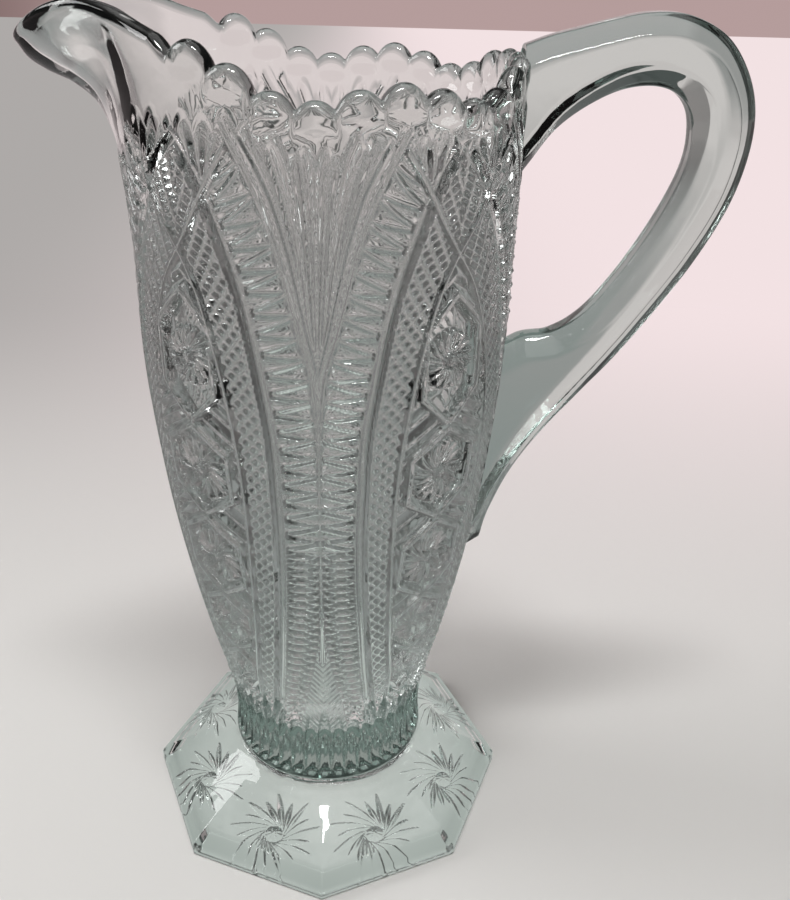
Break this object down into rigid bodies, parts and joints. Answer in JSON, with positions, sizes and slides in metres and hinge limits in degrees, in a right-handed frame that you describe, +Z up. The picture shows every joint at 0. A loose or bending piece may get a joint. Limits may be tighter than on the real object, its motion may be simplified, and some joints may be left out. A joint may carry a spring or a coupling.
{
  "type": "glass pitcher",
  "caption": "Tall pressed-glass pitcher with an octagonal foot, fluted collar, scalloped rim, pouring spout and panelled loop handle.",
  "frame": {"origin": "centre of the foot's underside, on the table plane, under the body's axis", "axes": "+Z up along the body's axis, +X towards the handle, -X towards the spout"},
  "size_m": [0.1836, 0.116, 0.245],
  "materials": {
    "glass": "clear pressed glass, fire polished, faint grey-green tint"
  },
  "bodies": {
    "root": {"body": "glass", "base_collar": "glass", "foot": "glass", "handle": "glass"}
  },
  "joints": []
}
